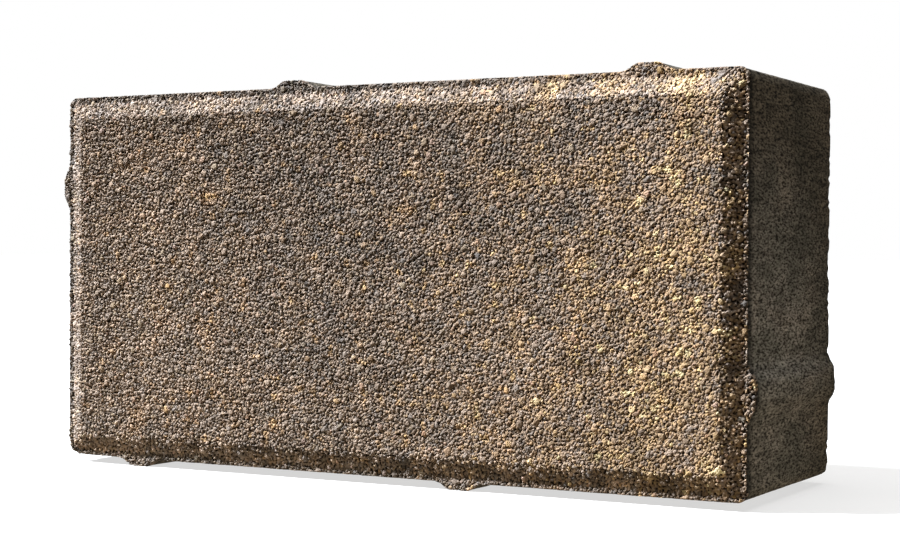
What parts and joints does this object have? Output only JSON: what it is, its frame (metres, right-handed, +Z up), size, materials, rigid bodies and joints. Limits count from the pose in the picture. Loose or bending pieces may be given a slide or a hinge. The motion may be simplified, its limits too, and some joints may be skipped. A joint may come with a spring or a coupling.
{
  "type": "rectangular concrete paver",
  "caption": "Rectangular pressed concrete paving block with a chamfered wear face and spacer ribs on its sides, standing on a long side.",
  "frame": {"origin": "middle of the footprint, on the level of the two lower spacer ribs that the block stands on", "axes": "+X along the length, +Y through the thickness from the wear face to the bed face, +Z up along the width"},
  "size_m": [0.204, 0.065, 0.104],
  "materials": {
    "concrete": "rough"
  },
  "bodies": {
    "root": {"paver": "concrete"}
  },
  "joints": []
}
